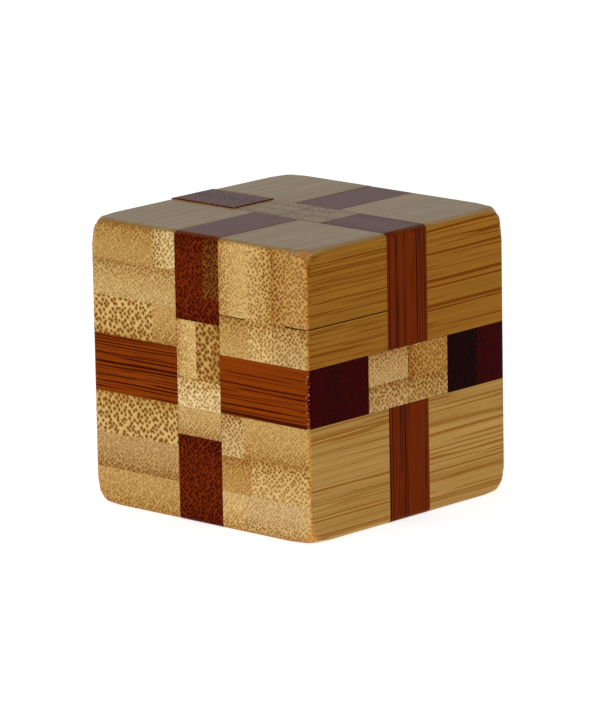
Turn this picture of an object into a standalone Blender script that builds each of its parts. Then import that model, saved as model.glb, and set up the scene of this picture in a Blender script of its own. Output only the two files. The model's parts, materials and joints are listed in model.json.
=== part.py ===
"""Bamboo burr puzzle cube.

Six pieces hook round each other at the middle of the cube. The core of each piece is one
square stick, two sticks along each axis, and dark blocks and light corner cubes are glued to
the sticks until the six together fill a cube. The cube stands on the XY plane, centred on the
origin, with its front towards -Y. The pieces are laid out in units of a tenth of the cube's
side, measured from the cube's centre.
"""

import bmesh
import bpy
from mathutils import Matrix, Vector

# Driving dimensions, in metres.
CUBE = 0.060  # outer side of the closed puzzle
FIT = 0.00015  # inner faces are set back this far, so neighbours are twice this apart
EDGE_RADIUS = 0.0016  # rounding of the cube's twelve outer edges
EDGE_SEGMENTS = 5

# The layout grid, in units of a tenth of the side.
UNIT = CUBE / 10
END = 5  # from the centre to an outer face
STICK = 2  # width of a stick
HALF = STICK / 2  # half a stick, which is also how deep each notch goes
SHIFT = 1  # how far the four inner pieces slide before they stop
PAST = 1  # how far a cutter runs out past the stick that it cuts

LIGHT = {"name": "light_bamboo", "color": (0.62, 0.39, 0.14, 1), "roughness": 0.32}
DARK = {"name": "dark_bamboo", "color": (0.17, 0.055, 0.018, 1), "roughness": 0.30}

# Spans that many blocks share: (low, high) along one axis.
WHOLE = (-END, END)
LOWER_STICK = (-STICK, 0)
UPPER_STICK = (0, STICK)
MIDDLE = (-HALF, HALF)
THROUGH = (-STICK - PAST, STICK + PAST)  # right through a stick, from side to side
LOWER_BAR = (-END, -STICK)  # a dark block beside a stick, across its thickness
UPPER_BAR = (STICK, END)
LOWER_CORNER = (-END, -HALF)
UPPER_CORNER = (HALF, END)


def clear_scene():
    for obj in list(bpy.data.objects):
        bpy.data.objects.remove(obj, do_unlink=True)


def new_collection(name):
    collection = bpy.data.collections.new(name)
    bpy.context.scene.collection.children.link(collection)
    return collection


def new_material(finish):
    material = bpy.data.materials.new(finish["name"])
    material.use_nodes = True
    shader = material.node_tree.nodes["Principled BSDF"]
    shader.inputs["Base Color"].default_value = finish["color"]
    shader.inputs["Roughness"].default_value = finish["roughness"]
    shader.inputs["Metallic"].default_value = 0
    shader.inputs["Coat Weight"].default_value = 0.5
    material.diffuse_color = finish["color"]
    return material


def mirrored(span):
    """The same span on the other side of the cube's centre."""
    return (-span[1], -span[0])


class Puzzle:
    """Holds the collections and materials, and makes the blocks of each piece."""

    def __init__(self):
        self.blocks = new_collection("burr_puzzle_cube")
        self.cutters = new_collection("cutters")
        self.materials = {finish["name"]: new_material(finish) for finish in (LIGHT, DARK)}

    def piece(self, name):
        """An empty at the cube's centre, on the piece's sliding axis, that carries its blocks."""
        empty = bpy.data.objects.new(name, None)
        empty.empty_display_size = CUBE / 4
        empty.location = (0, 0, CUBE / 2)
        self.blocks.objects.link(empty)
        return empty

    def box(self, name, piece, spans, grow):
        """A box over three spans, moved out by grow on each inner side, in the piece's frame."""
        low = Vector([a * UNIT - (grow if abs(a) != END else 0) for a, _ in spans])
        high = Vector([b * UNIT + (grow if abs(b) != END else 0) for _, b in spans])
        mesh = bpy.data.meshes.new(name)
        shape = bmesh.new()
        bmesh.ops.create_cube(shape, size=1, matrix=Matrix.Diagonal((*(high - low), 1)))
        shape.to_mesh(mesh)
        shape.free()
        obj = bpy.data.objects.new(name, mesh)
        obj.location = (low + high) / 2
        obj.parent = piece
        return obj

    def block(self, name, piece, finish, spans):
        """One wooden block, with the edges that lie on the cube's own edges rounded."""
        obj = self.box(name, piece, spans, -FIT)
        obj.data.materials.append(self.materials[finish["name"]])
        self.blocks.objects.link(obj)
        centre = obj.location
        weights = obj.data.attributes.new("bevel_weight_edge", "FLOAT", "EDGE")
        for edge in obj.data.edges:
            middle = centre + sum((obj.data.vertices[i].co for i in edge.vertices), Vector()) / 2
            on_faces = sum(abs(abs(c) - END * UNIT) < FIT / 2 for c in middle)
            weights.data[edge.index].value = float(on_faces == 2)
        bevel = obj.modifiers.new("outer_edges", "BEVEL")
        bevel.limit_method = "WEIGHT"
        bevel.width = EDGE_RADIUS
        bevel.segments = EDGE_SEGMENTS
        return obj

    def stick(self, name, piece, spans, notches=()):
        """One light stick, with its notches cut by boxes that are set back by the same fit."""
        obj = self.box(name, piece, spans, -FIT)
        obj.data.materials.append(self.materials[LIGHT["name"]])
        self.blocks.objects.link(obj)
        for number, notch in enumerate(notches, 1):
            cutter = self.box(f"{name}_notch_{number}", piece, notch, FIT)
            cutter.display_type = "WIRE"
            cutter.hide_render = True
            self.cutters.objects.link(cutter)
            cut = obj.modifiers.new(f"notch_{number}", "BOOLEAN")
            cut.operation = "DIFFERENCE"
            cut.solver = "EXACT"
            cut.object = cutter
        return obj


def base_piece(puzzle):
    """The lower stick along Y, with the whole foot of the cube glued to it."""
    piece = puzzle.piece("base")
    notch = (THROUGH, (-STICK - SHIFT, STICK + SHIFT), (-HALF, PAST))
    puzzle.stick("base_stick", piece, (MIDDLE, WHOLE, LOWER_STICK), [notch])
    for end, along in (("front", LOWER_CORNER), ("back", UPPER_CORNER)):
        puzzle.block(f"base_dark_{end}", piece, DARK, (MIDDLE, along, LOWER_BAR))
        for side, across in (("left", LOWER_CORNER), ("right", UPPER_CORNER)):
            spans = (across, along, LOWER_CORNER)
            puzzle.block(f"base_corner_{end}_{side}", piece, LIGHT, spans)


def top_blocks(puzzle, piece, name, along):
    """The dark block and the two corner cubes at one end of the cube's top."""
    puzzle.block(f"{name}_dark_top", piece, DARK, (MIDDLE, along, UPPER_BAR))
    for side, across in (("left", LOWER_CORNER), ("right", UPPER_CORNER)):
        puzzle.block(f"{name}_corner_{side}", piece, LIGHT, (across, along, UPPER_CORNER))


def key_piece(puzzle):
    """The upper stick along Y, left whole, which slides out first towards -Y."""
    piece = puzzle.piece("key")
    puzzle.stick("key_stick", piece, (MIDDLE, WHOLE, UPPER_STICK))
    top_blocks(puzzle, piece, "key", LOWER_CORNER)


def cross_piece(puzzle, name, turned):
    """A stick along X with a channel for the key and a pocket for each upright stick."""
    piece = puzzle.piece(name)
    stick, bar = (UPPER_STICK, UPPER_BAR) if turned else (LOWER_STICK, LOWER_BAR)
    pocket = (HALF, STICK + SHIFT)
    notches = [
        (MIDDLE, THROUGH, UPPER_STICK),
        (pocket, MIDDLE, THROUGH),
        (mirrored(pocket), MIDDLE, THROUGH),
    ]
    puzzle.stick(f"{name}_stick", piece, (WHOLE, stick, MIDDLE), notches)
    for side, across in (("left", LOWER_CORNER), ("right", UPPER_CORNER)):
        puzzle.block(f"{name}_dark_{side}", piece, DARK, (across, bar, MIDDLE))
    return piece


def upright_piece(puzzle, name, turned):
    """A stick along Z with a long notch on its inner side, and a dark block at each end."""
    piece = puzzle.piece(name)
    stick, bar = (UPPER_STICK, UPPER_BAR) if turned else (LOWER_STICK, LOWER_BAR)
    notch = (MIDDLE, THROUGH, (-STICK, STICK))
    puzzle.stick(f"{name}_stick", piece, (stick, MIDDLE, WHOLE), [notch])
    for end, along in (("bottom", LOWER_CORNER), ("top", UPPER_CORNER)):
        puzzle.block(f"{name}_dark_{end}", piece, DARK, (bar, MIDDLE, along))


def main():
    clear_scene()
    puzzle = Puzzle()
    base_piece(puzzle)
    key_piece(puzzle)
    cross_piece(puzzle, "front", turned=False)
    back = cross_piece(puzzle, "back", turned=True)
    top_blocks(puzzle, back, "back", UPPER_CORNER)
    upright_piece(puzzle, "left", turned=False)
    upright_piece(puzzle, "right", turned=True)


main()
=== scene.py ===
"""The looks of the bamboo burr puzzle cube.

Each CAD block is replaced by a finer one of the same size, cut from the same grid: its inner
edges are eased, the cube's outer edges are rounded over, and its surface carries the strips of
bamboo that it is glued up from. Two node materials, light and dark, read those strips.
"""

import json
import math
import random

import bmesh
import bpy
import numpy as np
from mathutils import Euler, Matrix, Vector


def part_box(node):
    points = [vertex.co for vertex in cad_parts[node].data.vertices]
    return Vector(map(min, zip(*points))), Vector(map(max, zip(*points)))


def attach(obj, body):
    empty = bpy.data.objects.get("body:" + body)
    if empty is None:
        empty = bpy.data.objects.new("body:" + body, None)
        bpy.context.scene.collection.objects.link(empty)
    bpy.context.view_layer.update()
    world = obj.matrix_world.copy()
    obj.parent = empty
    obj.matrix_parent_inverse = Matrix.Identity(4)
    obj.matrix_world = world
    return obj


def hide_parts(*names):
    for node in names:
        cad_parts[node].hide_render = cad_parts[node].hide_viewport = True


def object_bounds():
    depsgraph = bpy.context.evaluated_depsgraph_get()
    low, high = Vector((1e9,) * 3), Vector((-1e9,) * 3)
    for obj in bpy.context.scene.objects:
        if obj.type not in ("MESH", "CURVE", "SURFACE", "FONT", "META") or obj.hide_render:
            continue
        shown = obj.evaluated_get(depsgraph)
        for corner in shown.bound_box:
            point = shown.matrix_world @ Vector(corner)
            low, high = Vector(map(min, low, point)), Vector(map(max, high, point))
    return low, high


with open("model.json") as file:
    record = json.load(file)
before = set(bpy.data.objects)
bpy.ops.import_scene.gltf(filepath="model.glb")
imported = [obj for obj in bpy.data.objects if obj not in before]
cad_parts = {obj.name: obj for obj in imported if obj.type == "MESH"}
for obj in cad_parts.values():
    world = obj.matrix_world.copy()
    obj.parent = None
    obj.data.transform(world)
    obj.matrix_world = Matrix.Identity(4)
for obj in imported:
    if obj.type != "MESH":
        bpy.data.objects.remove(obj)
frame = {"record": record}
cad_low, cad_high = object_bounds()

MM = 0.001
UNIT = (cad_high.x - cad_low.x) / 10  # the blocks lie on a grid of a tenth of the side
CENTRE = (cad_low + cad_high) / 2
END = 5  # units from the centre to an outer face
X, Y, Z = 0, 1, 2

# Shape of a block, in metres.
SEAM = 0.012 * MM  # inner faces are set back this far from the grid
EASE = 0.05 * MM  # rounding of a block's own edges
EASE_SEGMENTS = 2
EDGE_ROUND = 1.15 * MM  # rounding of the cube's edges, away from its corners
CORNER_ROUND = 2.9 * MM  # and at its corners
CORNER_REACH = 5.5 * MM  # how far along an edge the corner's larger rounding fades out
ROUND_CUTS = [0.3, 0.6, 0.9, 1.2, 1.7, 2.3, 2.9]  # mesh lines beside an outer edge, in mm
LONGEST_FACE = 4.0 * MM
GRIME_AND_SHADE_DEPTH = 1.5 * MM  # dirt and painted shade darken the seams this far in
SEAM_GRIME_AND_SHADE = 0.5  # how dark a seam is at its mouth, with dirt and painted shade, where an open glue line is 1
EASE_CLEAR = 2.2 * EASE  # no other mesh line lies nearer to a block's own edge than this
SHARP = 1.0  # radians between two faces that make an edge of the block
ON_FACE = 0.5 * MM  # an edge this near an outer face belongs to it
HAIR = 0.001 * MM  # a face is inside the cube when it lies at least this far in

# Notches of the sticks and the open glue line of one corner cube, in grid units from the
# centre: (low corner, high corner).
PAST = 3  # outside a stick
BEYOND = END + 1  # outside the cube
CRACK_LOW, CRACK_HIGH, CRACK_FLOOR = 2.36, 2.382, 4.86
CRACK_FRONT_ENDS, CRACK_FRONT_STARTS = 2.2, 4.0  # on the front it closes up between these
CRACK_NEAR = 0.1  # a point this near its height lies in it
CRACK_DARKENED = 3  # it is darkened fully, with dirt and painted shade, to the right of this
CROSS_NOTCHES = [  # a channel for the key and a pocket for each upright stick
    ((-1, -PAST, 0), (1, PAST, PAST)),
    ((1, -1, -PAST), (3, 1, PAST)),
    ((-3, -1, -PAST), (-1, 1, PAST)),
]
UPRIGHT_NOTCHES = [((-1, -PAST, -2), (1, PAST, 2))]
NOTCHES = {
    "key_corner_right": [
        ((CRACK_FLOOR, -BEYOND, CRACK_LOW), (BEYOND, 0, CRACK_HIGH)),
        ((0, -BEYOND, CRACK_LOW), (CRACK_FRONT_ENDS, -CRACK_FLOOR, CRACK_HIGH)),
        ((CRACK_FRONT_STARTS, -BEYOND, CRACK_LOW), (BEYOND, -CRACK_FLOOR, CRACK_HIGH)),
    ],
    "base_stick": [((-PAST, -3, -1), (PAST, 3, PAST))],
    "front_stick": CROSS_NOTCHES,
    "back_stick": CROSS_NOTCHES,
    "left_stick": UPRIGHT_NOTCHES,
    "right_stick": UPRIGHT_NOTCHES,
}

# How far a block's top stands above (+) or below (-) the others, in mm.
PROUD = {
    "left_dark_top": 0.28,
    "back_corner_left": 0.06,
    "left_stick": 0.03,
    "key_corner_right": -0.06,
    "right_dark_top": -0.03,
}

# Tones of the wood: end grain of light blocks, long grain of light blocks, both of dark
# blocks, and the duller, greyer tones painted on the faces that point up or down as a painted sheen.
TONES = {
    "honey": (0.58, 0.33, 0.098),
    "buff": (0.525, 0.29, 0.083),
    "gold": (0.675, 0.405, 0.132),
    "pale": (0.71, 0.45, 0.165),
    "ivory": (0.745, 0.515, 0.22),
    "ash": (0.66, 0.425, 0.172),
    "straw": (0.67, 0.42, 0.148),
    "cream": (0.84, 0.60, 0.28),
    "tan": (0.55, 0.29, 0.078),
    "grey": (0.61, 0.38, 0.138),
    "drab": (0.545, 0.312, 0.115),
    "sand": (0.63, 0.365, 0.13),
    "ochre": (0.525, 0.245, 0.05),
    "amber": (0.335, 0.13, 0.0122),
    # Lighter long grain of the lower blocks: painted light from the floor below.
    "wheat_lit_from_below": (0.47, 0.247, 0.062),
    "brown": (0.164, 0.0198, 0.0008),
    "umber": (0.188, 0.054, 0.0065),
    "maroon": (0.048, 0.0004, 0.0004),
    "black": (0.012, 0.0002, 0.0002),
    "rust": (0.235, 0.037, 0.0009),
    "sienna": (0.165, 0.020, 0.0003),
    "oat": (0.42, 0.245, 0.098),
    "cocoa": (0.185, 0.042, 0.008),
}

# Bundles of a strip's end grain: spacing in mm, size, darkness.
BUNDLES = {
    "plain": (0.72, 0.36, 0.85),
    "fine": (0.74, 0.40, 0.87),
    "medium": (0.84, 0.40, 1.07),
    "coarse": (1.05, 0.40, 1.4),
    "bold": (1.0, 0.44, 1.6),
    "rich": (0.82, 0.42, 1.5),
}

# Streaks of a strip's long grain: lines per mm, strength, how fast they end along the grain.
STREAKS = {
    "dense": (2.6, 0.9, 0.005),
    "broken": (2.1, 0.8, 0.03),
    "strong": (1.5, 1.0, 0.005),
    "soft": (2.0, 0.75, 0.006),
    "inky": (2.9, 0.88, 0.007),
}


def strip(a, b, bundles, tone, skin, long_tone="amber", streaks="soft"):
    """A strip of bamboo over part of a block's section; skin is its side with most bundles."""
    return {
        "a": a,
        "b": b,
        "bundles": bundles,
        "tone": tone,
        "skin": skin,
        "long_tone": long_tone,
        "streaks": streaks,
    }


# The section of a block is read across (a) and up (b): X and Z where the grain runs along Y,
# Y and Z where it runs along X, X and Y where it runs along Z. Spans are fractions of the block.
STRIPS = {
    "key_corner_left": [
        strip((0, 0.73), (0.66, 1), "plain", "buff", "+b"),
        strip((0.73, 1), (0.66, 1), "medium", "ivory", "-a"),
        strip((0, 1), (0.34, 0.66), "fine", "grey", "+b"),
        strip((0, 0.73), (0, 0.34), "coarse", "straw", "-b"),
        strip((0.73, 1), (0, 0.34), "fine", "honey", "-b"),
    ],
    "key_corner_right": [
        strip((0, 0.33), (0.34, 1), "fine", "gold", "-a", "amber", "dense"),
        strip((0.33, 0.6), (0.34, 1), "medium", "gold", "+a", "amber", "dense"),
        strip((0.6, 1), (0.34, 1), "medium", "tan", "-a", "amber", "dense"),
        strip((0, 0.33), (0, 0.34), "fine", "honey", "+b", "amber", "broken"),
        strip((0.33, 0.6), (0, 0.34), "medium", "pale", "+b", "amber", "broken"),
        strip((0.6, 1), (0, 0.34), "medium", "grey", "+b", "amber", "broken"),
    ],
    # The lower corner cubes take the lighter long-grain tone: painted light from the floor below.
    "base_corner_front_left": [
        strip((0, 1), (0.64, 1), "coarse", "straw", "+b", "wheat_lit_from_below"),
        strip((0, 1), (0.33, 0.64), "fine", "drab", "-b", "wheat_lit_from_below"),
        strip((0, 1), (0, 0.33), "fine", "honey", "-b", "wheat_lit_from_below"),
    ],
    "base_corner_front_right": [
        strip((0, 0.26), (0.64, 1), "medium", "ash", "+b", "wheat_lit_from_below"),
        strip((0.26, 1), (0.64, 1), "plain", "honey", "-b", "wheat_lit_from_below"),
        strip((0, 0.34), (0.33, 0.64), "fine", "tan", "+b", "wheat_lit_from_below"),
        strip((0.34, 1), (0.33, 0.64), "medium", "pale", "+b", "wheat_lit_from_below"),
        strip((0, 0.27), (0, 0.33), "fine", "pale", "-b", "wheat_lit_from_below"),
        strip((0.27, 1), (0, 0.33), "fine", "ash", "-b", "wheat_lit_from_below"),
    ],
    "back_corner_right": [
        strip((0, 1), (0.55, 1), "fine", "honey", "+b", "amber", "strong"),
        strip((0, 1), (0, 0.55), "medium", "honey", "+b", "amber", "strong"),
    ],
    "key_stick": [
        strip((0, 0.45), (0, 1), "plain", "pale", "-a"),
        strip((0.45, 1), (0, 1), "bold", "honey", "+a"),
    ],
    "base_stick": [
        strip((0, 1), (0.5, 1), "medium", "cream", "+b"),
        strip((0, 1), (0, 0.5), "plain", "grey", "-b"),
    ],
    "front_stick": [
        strip((0, 1), (0.45, 1), "fine", "sand", "+b"),
        strip((0, 1), (0, 0.45), "medium", "sand", "+b"),
    ],
    "back_stick": [
        strip((0, 1), (0.42, 1), "medium", "ochre", "-a"),
        strip((0, 1), (0, 0.42), "medium", "honey", "+b"),
    ],
    "key_dark_top": [
        strip((0, 0.65), (0.28, 1), "rich", "brown", "+b", "rust"),
        strip((0.65, 1), (0.28, 1), "rich", "umber", "+b", "rust"),
        strip((0, 1), (0, 0.28), "rich", "brown", "-b", "rust"),
    ],
    "base_dark_front": [
        strip((0, 1), (0.47, 1), "rich", "brown", "+b", "rust"),
        strip((0, 1), (0, 0.47), "rich", "brown", "-b", "rust"),
    ],
    "front_dark_left": [
        strip((0, 1), (0, 1), "fine", "maroon", "+b", "rust", "inky"),
    ],
    "front_dark_right": [
        strip((0, 0.45), (0, 1), "medium", "maroon", "+a", "rust", "inky"),
        strip((0.45, 1), (0, 1), "medium", "maroon", "-a", "rust", "inky"),
    ],
    "back_dark_right": [
        strip((0, 0.5), (0, 1), "medium", "black", "+a", "rust"),
        strip((0.5, 1), (0, 1), "medium", "maroon", "-a", "rust"),
    ],
    "right_dark_top": [
        strip((0, 1), (0, 0.66), "fine", "maroon", "-b", "sienna", "dense"),
        strip((0, 1), (0.66, 1), "fine", "maroon", "+b", "sienna", "dense"),
    ],
    "right_dark_bottom": [
        strip((0, 1), (0, 0.5), "fine", "maroon", "-b", "sienna", "dense"),
        strip((0, 1), (0.5, 1), "fine", "maroon", "+b", "sienna", "strong"),
    ],
}


def random_strips(rng, dark, low):
    """A layout for a block that none of the strips above describe."""
    if dark:
        cuts = [0, rng.uniform(0.4, 0.6), 1]
    else:
        cuts = [0, rng.uniform(0.28, 0.4), rng.uniform(0.6, 0.72), 1]
    tones = ["brown", "umber", "maroon"] if dark else ["honey", "pale", "grey", "tan", "straw"]
    kinds = ["fine", "medium", "medium"] if dark else ["plain", "fine", "medium", "coarse"]
    # Lower blocks get a lighter long-grain tone: painted light from the floor below.
    long_tone = rng.choice(["rust", "sienna"]) if dark else ("wheat_lit_from_below" if low else "amber")
    streaks = rng.choice(["soft", "inky" if dark else "strong", "dense", "broken"])
    made = []
    for b in zip(cuts, cuts[1:]):
        split = rng.uniform(0.3, 0.7) if rng.random() < 0.5 and not dark else 1
        spans = [(0, split), (split, 1)] if split < 1 else [(0, 1)]
        for a in spans:
            skin = rng.choice(["+b", "-b"])
            made.append(strip(a, b, rng.choice(kinds), rng.choice(tones), skin, long_tone, streaks))
    return made


def grain_axis(spans):
    """The axis that a block's grain runs along: its longest, or Y on a corner cube."""
    sizes = [high - low for low, high in zip(*spans)]
    return Y if min(sizes) == max(sizes) else sizes.index(max(sizes))


def grid_spans(node):
    """A node's low and high corners on the block grid, in units from the centre."""
    low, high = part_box(node)
    return [tuple(round(c) for c in (corner - CENTRE) / UNIT) for corner in (low, high)]


def set_back(corner, sign):
    """A grid corner in metres, moved by the seam along sign unless it lies on an outer face."""
    return [c * UNIT + (0 if abs(c) == END else sign * SEAM) for c in corner]


class Block:
    """The finer mesh of one CAD node."""

    def __init__(self, node):
        self.node = node
        self.low, self.high = grid_spans(node)
        self.axis = grain_axis((self.low, self.high))
        self.across, self.up = [a for a in (X, Y, Z) if a != self.axis]
        self.dark = "_dark_" in node
        rng = random.Random(node)
        self.strips = STRIPS.get(node) or random_strips(rng, self.dark, self.low[Z] < -1)
        self.seeds = [rng.uniform(0, 400) for _ in self.strips]

    def fraction(self, point, axis):
        """Where a point lies across the block along one axis, from 0 to 1."""
        low, high = self.low[axis] * UNIT, self.high[axis] * UNIT
        return (point[axis] - low) / (high - low)

    def lines(self, axis):
        """Mesh lines across one axis: beside outer edges, at strip joints, and to fill long gaps."""
        low, high = self.low[axis], self.high[axis]
        found = [low * UNIT, high * UNIT]
        for cut in ROUND_CUTS:
            found += [-END * UNIT + cut * MM] if low == -END else []
            found += [END * UNIT - cut * MM] if high == END else []
        if axis != self.axis:
            side = "a" if axis == self.across else "b"
            joints = {edge for s in self.strips for edge in s[side] if 0 < edge < 1}
            found += [(low + (high - low) * edge) * UNIT for edge in joints]
        found.sort()
        filled = list(found)
        for first, second in zip(found, found[1:]):
            count = math.ceil((second - first) / LONGEST_FACE)
            filled += [first + (second - first) * i / count for i in range(1, count)]
        return sorted(filled)

    def cells(self):
        """Grid lines along each axis and which cells between them are solid."""
        keep_low, keep_high = set_back(self.low, 1), set_back(self.high, -1)
        keep_high[Z] += PROUD.get(self.node, 0) * MM if self.high[Z] == END else 0
        cuts = [(set_back(low, -1), set_back(high, 1)) for low, high in NOTCHES.get(self.node, [])]
        grid = []
        for axis in (X, Y, Z):
            marks = [keep_low[axis], keep_high[axis]]
            marks += [corner[axis] for cut in cuts for corner in cut]
            inside = [m for m in marks if keep_low[axis] <= m <= keep_high[axis]]
            spare = [m for m in self.lines(axis) if min(abs(m - i) for i in inside) > EASE_CLEAR]
            spare = [m for m in spare if keep_low[axis] < m < keep_high[axis]]
            grid.append(np.array(sorted(set(inside + spare))))
        middles = [(g[1:] + g[:-1]) / 2 for g in grid]
        solid = np.ones([len(m) for m in middles], bool)
        for low, high in cuts:
            inside = [(m > low[a]) & (m < high[a]) for a, m in enumerate(middles)]
            solid &= ~(inside[X][:, None, None] & inside[Y][None, :, None] & inside[Z][None, None, :])
        return grid, solid

    def shell(self):
        """A bmesh of the faces between solid and empty cells."""
        grid, solid = self.cells()
        padded = np.pad(solid, 1)
        shape, corners = bmesh.new(), {}

        def corner(index):
            if index not in corners:
                corners[index] = shape.verts.new([grid[a][index[a]] for a in (X, Y, Z)])
            return corners[index]

        for axis in (X, Y, Z):
            u, v = (axis + 1) % 3, (axis + 2) % 3
            change = np.diff(padded.astype(int), axis=axis)
            for index in zip(*np.nonzero(change)):
                at = [i - 1 for i in index]
                at[axis] += 1
                turn = [(0, 0), (1, 0), (1, 1), (0, 1)]
                if change[index] > 0:
                    turn.reverse()
                loop = []
                for du, dv in turn:
                    place = list(at)
                    place[u] += du
                    place[v] += dv
                    loop.append(corner(tuple(place)))
                shape.faces.new(loop)
        return shape

    def ease(self, shape):
        """Rounds the block's own edges, but not those that lie on the cube's edges."""
        shape.normal_update()
        chosen = []
        for edge in shape.edges:
            if len(edge.link_faces) != 2 or not edge.is_convex or edge.calc_face_angle() < SHARP:
                continue
            middle = (edge.verts[0].co + edge.verts[1].co) / 2
            outer = sum(abs(abs(c) - END * UNIT) < ON_FACE for c in middle)
            if outer < 2:
                chosen.append(edge)
        bmesh.ops.bevel(
            shape, geom=chosen, offset=EASE, segments=EASE_SEGMENTS, profile=0.5, affect="EDGES"
        )

    def inner(self, face):
        """Whether a face of the still square block lies inside the cube's outer faces."""
        middle = face.calc_center_median()
        sunk = min(PROUD.get(self.node, 0), 0) * MM
        limits = (END * UNIT, END * UNIT, END * UNIT + (sunk if middle.z > 0 else 0))
        return all(abs(c) < limit - HAIR for c, limit in zip(middle, limits))

    def in_crack(self, point):
        """Whether a point lies in the part of the open glue line that is darkened fully, with dirt and
        painted shade.
        """
        close = abs(point.z / UNIT - CRACK_HIGH) < CRACK_NEAR
        return self.node == "key_corner_right" and close and point.x > CRACK_DARKENED * UNIT

    def mesh(self):
        shape = self.shell()
        self.ease(shape)
        inner = [self.inner(face) for face in shape.faces]
        for vertex in shape.verts:
            vertex.co = rounded(vertex.co)
        made = bpy.data.meshes.new(self.node + "_wood")
        shape.to_mesh(made)
        shape.free()
        made.shade_smooth()
        self.paint(made, inner)
        for vertex in made.vertices:
            vertex.co += CENTRE
        return made

    def strip_at(self, point):
        a, b = self.fraction(point, self.across), self.fraction(point, self.up)
        a, b = min(max(a, 0.001), 0.999), min(max(b, 0.001), 0.999)
        for number, s in enumerate(self.strips):
            if s["a"][0] <= a <= s["a"][1] and s["b"][0] <= b <= s["b"][1]:
                return number
        raise ValueError(f"{self.node}: no strip at {a:.2f}, {b:.2f}")

    def paint(self, mesh, inner):
        """Stores, for each face corner, where it lies in its strip and what that strip is like."""
        count = len(mesh.loops)
        grain, bundles, streaks = (np.zeros((count, 3)) for _ in range(3))
        end_tone, long_tone = np.ones((count, 4)), np.ones((count, 4))
        end, wear_and_highlight, grime_and_shade = (np.zeros(count) for _ in range(3))
        normals = [Vector(n.vector) for n in mesh.corner_normals]
        # The tone of the painted sheen on faces that point up or down.
        sheen_tone = Vector(TONES["cocoa" if self.dark else "oat"])
        for face in mesh.polygons:
            number = self.strip_at(face.center)
            s, seed = self.strips[number], self.seeds[number]
            sign, side = s["skin"]
            radial = self.across if side == "a" else self.up
            tangent = self.up if side == "a" else self.across
            low, high = (self.low[radial] + (self.high[radial] - self.low[radial]) * f for f in s[side])
            skin = (high if sign == "+" else low) * UNIT
            for loop in face.loop_indices:
                point = mesh.vertices[mesh.loops[loop].vertex_index].co
                grain[loop] = (
                    abs(point[radial] - skin) / MM,
                    point[tangent] / MM + seed,
                    point[self.axis] / MM + seed,
                )
                end[loop] = abs(normals[loop][self.axis])
                near = [END * UNIT - abs(c) for c in point]
                # Painted highlight: the sides of a block that stand above the top are painted lighter at
                # full strength, as a lit line.
                if near[Z] < 0:
                    wear_and_highlight[loop] = float(abs(normals[loop].z) < 0.5)
                # Inner faces darken towards the cube's surface: dirt and painted shade in the seams,
                # fully so in the open glue line.
                elif inner[face.index]:
                    grime_and_shade[loop] = smooth(1 - min(near) / GRIME_AND_SHADE_DEPTH)
                    grime_and_shade[loop] *= 1 if self.in_crack(point) else SEAM_GRIME_AND_SHADE
                # On the rounded vertical edges the mark is partly wear and partly painted highlight.
                elif max(near[X], near[Y]) < CORNER_ROUND:
                    wear_and_highlight[loop] = smooth(4 * (1 - max(abs(c) for c in normals[loop])))
            spacing, size, darkness = BUNDLES[s["bundles"]]
            lines, strength, shortness = STREAKS[s["streaks"]]
            for loop in face.loop_indices:
                # Painted sheen: faces that point up or down are painted duller and greyer, with fainter
                # grain, in place of the lacquer's grey reflection seen at a grazing angle.
                sheen_share = smooth(2 * abs(normals[loop].z) - 0.6)
                bundles[loop] = (1 / spacing, size, darkness * (1 - 0.5 * sheen_share))
                end_tone[loop, :3] = Vector(TONES[s["tone"]]).lerp(sheen_tone, sheen_share)
                long_tone[loop, :3] = Vector(TONES[s["long_tone"]]).lerp(sheen_tone, sheen_share)
                streaks[loop] = (lines, strength * (1 - 0.6 * sheen_share), shortness)
        for name, kind, values in (
            ("grain", "FLOAT_VECTOR", grain),
            ("bundles", "FLOAT_VECTOR", bundles),
            ("streaks", "FLOAT_VECTOR", streaks),
            ("end_tone", "FLOAT_COLOR", end_tone),
            ("long_tone", "FLOAT_COLOR", long_tone),
            ("end", "FLOAT", end),
            ("wear_and_highlight", "FLOAT", wear_and_highlight),
            ("grime_and_shade", "FLOAT", grime_and_shade),
        ):
            layer = mesh.attributes.new(name, kind, "CORNER")
            field = {"FLOAT_VECTOR": "vector", "FLOAT_COLOR": "color", "FLOAT": "value"}[kind]
            layer.data.foreach_set(field, np.ravel(values).astype(np.float32))


def smooth(value):
    value = min(max(value, 0), 1)
    return value * value * (3 - 2 * value)


def rounded(point):
    """Bends the space near the cube's edges, so that its square edges become round ones."""
    half = END * UNIT
    near = [half - abs(c) for c in point]
    # A corner is close when all three distances are small: the largest of them says how close.
    closeness = smooth(1 - max(near) / CORNER_REACH)
    radius = EDGE_ROUND + (CORNER_ROUND - EDGE_ROUND) * closeness
    over = Vector([math.copysign(max(abs(c) - (half - radius), 0), c) for c in point])
    square = max(abs(c) for c in over)
    if square == 0 or over.length == 0:
        return point
    return point - over + over * (square / over.length)


# Colours that multiply a tone: where the wood is worn or painted lighter as a highlight, where it is
# darkened by dirt and painted shade, where it is pith, and from the low to the high end of each noise
# that varies it.
WEAR_AND_HIGHLIGHT_TINT = (1.45, 1.10, 0.65, 1)
GRIME_AND_SHADE_TINT = (0.08, 0.03, 0.02, 1)
PITH_TINT = (1.05, 1.08, 1.16, 1)
MOTTLE_TINTS = ((0.84, 0.82, 0.78, 1), (1.12, 1.13, 1.16, 1))
CELL_TINTS = ((0.84, 0.78, 0.66, 1), (1.12, 1.14, 1.2, 1))
BAND_TINTS = ((0.78, 0.75, 0.62, 1), (1.22, 1.25, 1.38, 1))
FIBRE_TINTS = ((0.66, 0.60, 0.46, 1), (1.34, 1.40, 1.54, 1))

GLINT_COLOUR = (0.9, 0.62, 0.36, 1)  # of the painted glints: pale dots of painted highlight along a rounded, partly worn edge
ROUGHNESS = 0.22  # of the lacquer, where the wood under it is smooth
RELIEF = 0.06 * MM  # height of the bump


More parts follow.
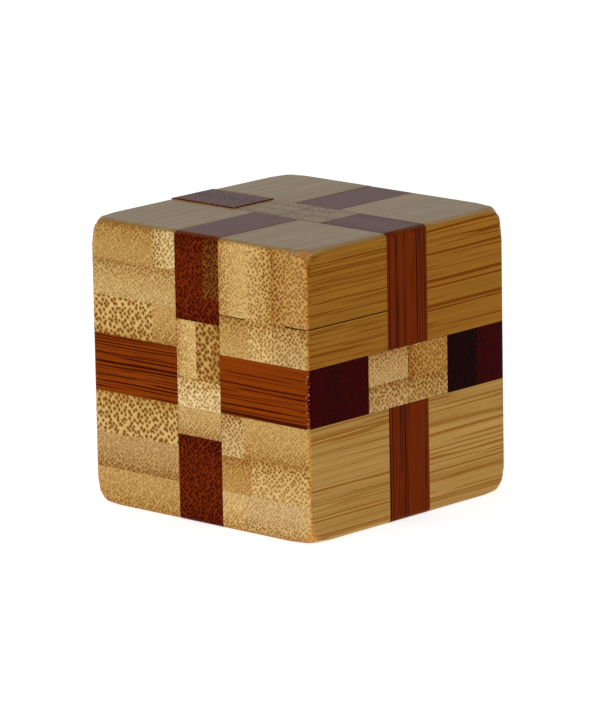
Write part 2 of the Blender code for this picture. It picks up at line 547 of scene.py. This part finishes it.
class Graph:
    """A node tree of a material or a world, with short calls for the nodes that it uses."""

    def __init__(self, owner):
        owner.use_nodes = True
        self.owner = owner
        self.tree = owner.node_tree
        self.shader = self.tree.nodes.get("Principled BSDF")

    def put(self, value, socket):
        if isinstance(value, bpy.types.NodeSocket):
            self.tree.links.new(value, socket)
        else:
            socket.default_value = value

    def node(self, kind, inputs=(), **settings):
        node = self.tree.nodes.new("ShaderNode" + kind)
        for name, value in settings.items():
            setattr(node, name, value)
        for name, value in dict(inputs).items():
            self.put(value, node.inputs[name])
        return node

    def math(self, operation, a, b=0.0, clamp=False):
        return self.node("Math", {0: a, 1: b}, operation=operation, use_clamp=clamp).outputs[0]

    def vector(self, operation, a, b):
        return self.node("VectorMath", {0: a, 1: b}, operation=operation).outputs[0]

    def join(self, x, y, z):
        return self.node("CombineXYZ", {0: x, 1: y, 2: z}).outputs[0]

    def split(self, vector):
        return self.node("SeparateXYZ", {0: vector}).outputs

    def attribute(self, name, output):
        return self.node("Attribute", attribute_name=name).outputs[output]

    def ramp(self, value, low, high, to_low=0.0, to_high=1.0):
        """A smooth step of value from low to high."""
        inputs = {"Value": value, "From Min": low, "From Max": high, "To Min": to_low, "To Max": to_high}
        return self.node("MapRange", inputs, interpolation_type="SMOOTHSTEP").outputs[0]

    def noise(self, vector, detail=2.0, roughness=0.5):
        inputs = {"Vector": vector, "Scale": 1.0, "Detail": detail, "Roughness": roughness}
        return self.node("TexNoise", inputs).outputs

    def mix(self, factor, a, b, blend="MIX"):
        node = self.node("Mix", data_type="RGBA", blend_type=blend, clamp_factor=True)
        for value, number in ((factor, 0), (a, 6), (b, 7)):
            self.put(value, node.inputs[number])
        return node.outputs[2]

    def tinted(self, colour, tint):
        return self.mix(1.0, colour, tint, "MULTIPLY")


def bamboo(name, bundle_tint, line_tint, skin_tint, facing_tint, ior):
    """Lacquered laminated bamboo: dots of vascular bundles on end grain, streaks along it."""
    g = Graph(bpy.data.materials.new(name))
    place = g.attribute("grain", "Vector")
    frequency, size, darkness = g.split(g.attribute("bundles", "Vector"))
    lines, strength, shortness = g.split(g.attribute("streaks", "Vector"))
    end_tone = g.attribute("end_tone", "Color")
    long_tone = g.attribute("long_tone", "Color")
    end = g.ramp(g.attribute("end", "Fac"), 0.45, 0.8)
    depth, _, along = g.split(place)

    # The bundles run along the grain and wander a little, so a cut along them ends some.
    wander = g.noise(g.vector("MULTIPLY", place, (0.25, 0.25, 0.03)), 1.0)["Color"]
    wander = g.vector("SUBTRACT", wander, (0.5, 0.5, 0.5))
    wandered = g.vector("ADD", place, g.vector("MULTIPLY", wander, (0.8, 0.8, 0)))
    across_x, across_y, _ = g.split(wandered)

    # They stand in staggered rows: a square grid of cells turned by an eighth of a turn.
    turned_x = g.math("MULTIPLY", g.math("ADD", across_x, across_y), 0.7071)
    turned_y = g.math("MULTIPLY", g.math("SUBTRACT", across_x, across_y), 0.7071)
    cell_x = g.math("MULTIPLY", turned_x, frequency)
    cell_y = g.math("MULTIPLY", turned_y, frequency)
    cell = g.join(cell_x, cell_y, 0.0)
    inputs = {"Vector": cell, "Scale": 1.0, "Randomness": 0.62}
    dots = g.node("TexVoronoi", inputs, voronoi_dimensions="2D").outputs
    chance, _, _ = g.split(dots["Color"])
    near_skin = g.ramp(depth, 5.0, 0.3)
    thinning = g.ramp(frequency, 0.95, 1.4, 0.1, 0.5)
    fade = g.math("MULTIPLY", thinning, g.math("SUBTRACT", 1.0, near_skin))
    grown = g.math("MULTIPLY", size, g.math("ADD", 0.8, g.math("MULTIPLY", chance, 0.35)))
    reach = g.math("DIVIDE", dots["Distance"], grown)
    halo = g.math("MULTIPLY", g.ramp(reach, 1.6, 0.8), 0.4)
    dot = g.math("MAXIMUM", g.ramp(reach, 1.1, 0.5), halo)
    dot = g.math("MULTIPLY", dot, g.math("SUBTRACT", 1.0, fade))
    dot = g.math("MULTIPLY", dot, darkness, clamp=True)

    mottle = g.noise(g.vector("MULTIPLY", place, (0.5, 0.5, 0.05)), 3.0)["Fac"]
    end_base = g.tinted(end_tone, g.mix(mottle, *MOTTLE_TINTS))
    cells = g.noise(g.vector("MULTIPLY", place, (2.4, 2.4, 0.3)), 1.0)["Fac"]
    cells = g.ramp(cells, 0.3, 0.7)
    end_base = g.tinted(end_base, g.mix(cells, *CELL_TINTS))
    pith = g.ramp(depth, 2.5, 7.0)
    end_base = g.mix(pith, end_base, g.tinted(end_base, PITH_TINT))
    skin_line = g.math("MULTIPLY", g.ramp(depth, 2.2, 0.1), 0.6)
    end_base = g.mix(skin_line, end_base, g.tinted(end_base, skin_tint))
    end_colour = g.mix(dot, end_base, g.tinted(end_tone, bundle_tint))

    def stretched(per_mm, along_mm, detail):
        at = g.join(
            g.math("MULTIPLY", across_x, per_mm),
            g.math("MULTIPLY", across_y, per_mm),
            g.math("MULTIPLY", along, along_mm),
        )
        return g.noise(at, detail, 0.6)["Fac"]

    line = g.math("MULTIPLY", g.ramp(stretched(lines, shortness, 2.0), 0.52, 0.585), strength)
    broken = g.ramp(shortness, 0.015, 0.045, 0.15, 0.9)
    dash = g.math("MULTIPLY", g.ramp(stretched(2.9, 0.07, 1.0), 0.58, 0.66), broken)
    bands = stretched(0.22, 0.008, 3.0)
    fibre = stretched(3.0, 0.02, 2.0)
    long_base = g.tinted(long_tone, g.mix(bands, *BAND_TINTS))
    long_base = g.tinted(long_base, g.mix(fibre, *FIBRE_TINTS))
    marks = g.math("MAXIMUM", line, dash)
    long_colour = g.mix(marks, long_base, g.tinted(long_tone, line_tint))
    colour = g.mix(end, long_colour, end_colour)

    # The rounded vertical edges are warmer and lighter, partly wear and partly painted highlight, with
    # painted glints, and seams are darkened by dirt and painted shade.
    wear_and_highlight = g.attribute("wear_and_highlight", "Fac")
    # Painted glints: pale dots on the marked edges stand in for sparkles of reflected light.
    glint_cells = g.node("TexVoronoi", {"Vector": place, "Scale": 2.3}).outputs
    glint = g.math("MULTIPLY", g.ramp(glint_cells["Distance"], 0.42, 0.2), g.ramp(glint_cells["Color"], 0.4, 0.7))
    # Painted highlight, partly wear: the marked edges and proud sides are tinted warmer and lighter.
    colour = g.mix(g.math("MULTIPLY", wear_and_highlight, 0.5), colour, g.tinted(colour, WEAR_AND_HIGHLIGHT_TINT))
    painted_glint = g.math("MULTIPLY", g.math("MULTIPLY", wear_and_highlight, glint), 0.65)
    colour = g.mix(painted_glint, colour, GLINT_COLOUR)
    # Dirt and painted shade darken the seams and the open glue line.
    grime_and_shade = g.attribute("grime_and_shade", "Fac")
    colour = g.mix(grime_and_shade, colour, g.tinted(colour, GRIME_AND_SHADE_TINT))
    g.put(colour, g.shader.inputs["Base Color"])

    # Bundles and streaks lie a little below the lacquered surface.
    pit = g.math("MULTIPLY", dot, end)
    groove = g.math("MULTIPLY", g.math("MULTIPLY", marks, 0.35), g.math("SUBTRACT", 1.0, end))
    height = g.math("SUBTRACT", g.math("MULTIPLY", fibre, 0.12), g.math("ADD", pit, groove))
    bump = g.node("Bump", {"Strength": 0.55, "Distance": RELIEF, "Height": height})
    g.put(bump.outputs[0], g.shader.inputs["Normal"])
    roughness = g.math("ADD", g.math("MULTIPLY", fibre, 0.08), g.math("MULTIPLY", pit, 0.1))
    g.put(g.math("ADD", roughness, ROUGHNESS), g.shader.inputs["Roughness"])
    g.shader.inputs["IOR"].default_value = ior
    g.shader.inputs["Specular Tint"].default_value = facing_tint
    return g.owner


def add_blocks():
    materials = {
        False: bamboo(
            "light_bamboo_wood",
            bundle_tint=(0.33, 0.17, 0.02, 1),
            line_tint=(0.60, 0.34, 0.03, 1),
            skin_tint=(0.72, 0.55, 0.35, 1),
            facing_tint=(1, 0.6, 0.1, 1),
            ior=1.10,
        ),
        True: bamboo(
            "dark_bamboo_wood",
            bundle_tint=(0.25, 0.05, 0.01, 1),
            line_tint=(0.12, 0.012, 0.003, 1),
            skin_tint=(0.75, 0.55, 0.50, 1),
            facing_tint=(1, 0.1, 0.02, 1),
            ior=1.085,
        ),
    }
    for body, nodes in frame["record"]["behaviour"]["bodies"].items():
        for node in nodes:
            block = Block(node)
            piece = bpy.data.objects.new(node + "_wood", block.mesh())
            bpy.context.scene.collection.objects.link(piece)
            piece.data.materials.append(materials[block.dark])
            weighted = piece.modifiers.new("flat_faces", "WEIGHTED_NORMAL")
            weighted.mode = "FACE_AREA"
            weighted.keep_sharp = True
            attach(piece, body)
            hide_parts(node)


# Camera and light.
AZIMUTH, ELEVATION, ROLL = 42.8, 12.74, -1.03  # degrees
DISTANCE = 1.209  # metres from the point that the camera aims at
LENS = 294  # mm
AIM = Vector((0.0002, 0, -0.0012))  # that point, from the cube's centre
FLOOR_RADIUS = 3.0
FLOOR_LIFT = 0.03 * MM  # so that the underside isn't level with the floor and shows from below
SIDE_LIGHT = (0.43, 0.62, 0.72, 1)
OVERHEAD_LIGHT = (0.48, 0.48, 0.48, 1)
BACKDROP_LIGHT = (0.54, 0.78, 0.90, 1)


def direction(azimuth, elevation):
    """A unit vector from the object towards that azimuth, 0 at -Y and 90 at +X, and elevation."""
    a, e = math.radians(azimuth), math.radians(elevation)
    return Vector((math.sin(a) * math.cos(e), -math.cos(a) * math.cos(e), math.sin(e)))


def add_camera():
    camera = bpy.data.objects.new("camera", bpy.data.cameras.new("camera"))
    camera.data.lens = LENS
    camera.data.clip_start = 0.05
    back = direction(AZIMUTH, ELEVATION)
    camera.location = CENTRE + AIM + back * DISTANCE
    aim = (-back).to_track_quat("-Z", "Y").to_matrix()
    roll = Euler((0, 0, math.radians(ROLL))).to_matrix()
    camera.rotation_euler = (aim @ roll).to_euler()
    bpy.context.scene.collection.objects.link(camera)
    bpy.context.scene.camera = camera


def add_light(name, azimuth, elevation, distance, size, power):
    light = bpy.data.lights.new(name, "AREA")
    light.size = size
    light.energy = power
    lamp = bpy.data.objects.new(name, light)
    towards = direction(azimuth, elevation)
    lamp.location = CENTRE + towards * distance
    lamp.rotation_euler = towards.to_track_quat("Z", "Y").to_euler()
    bpy.context.scene.collection.objects.link(lamp)


def add_floor():
    mesh = bpy.data.meshes.new("floor")
    disc = bmesh.new()
    bmesh.ops.create_circle(disc, cap_ends=True, radius=FLOOR_RADIUS, segments=96)
    disc.to_mesh(mesh)
    disc.free()
    floor = bpy.data.objects.new("floor", mesh)
    floor.location.z = cad_low.z + FLOOR_LIFT
    graph = Graph(bpy.data.materials.new("floor_paper"))
    graph.shader.inputs["Base Color"].default_value = (0.8, 0.8, 0.8, 1)
    graph.shader.inputs["Roughness"].default_value = 0.9
    graph.shader.inputs["Specular IOR Level"].default_value = 0
    graph.shader.inputs["Emission Color"].default_value = (1, 1, 1, 1)
    graph.shader.inputs["Emission Strength"].default_value = 0.68
    mesh.materials.append(graph.owner)
    bpy.context.scene.collection.objects.link(floor)


def add_world():
    """A plain studio: cool low round the sides, neutral overhead, with a bright backdrop."""
    g = Graph(bpy.data.worlds.new("studio"))
    towards = g.node("TexCoord").outputs["Generated"]
    height = g.split(towards)[Z]
    inputs = {0: towards, 1: direction(AZIMUTH + 180, ELEVATION)}
    behind = g.node("VectorMath", inputs, operation="DOT_PRODUCT").outputs["Value"]
    low = g.mix(g.ramp(behind, 0.8, 0.96), SIDE_LIGHT, BACKDROP_LIGHT)
    colour = g.mix(g.ramp(height, 0.22, 0.5), low, OVERHEAD_LIGHT)
    g.put(colour, g.tree.nodes["Background"].inputs["Color"])
    bpy.context.scene.world = g.owner


add_camera()
add_blocks()
add_floor()
add_world()
add_light("key", azimuth=-12, elevation=14, distance=1.0, size=0.16, power=1.7)
add_light("sparkle", azimuth=40, elevation=32, distance=1.0, size=0.06, power=0.45)
bpy.context.scene.view_settings.view_transform = "Standard"
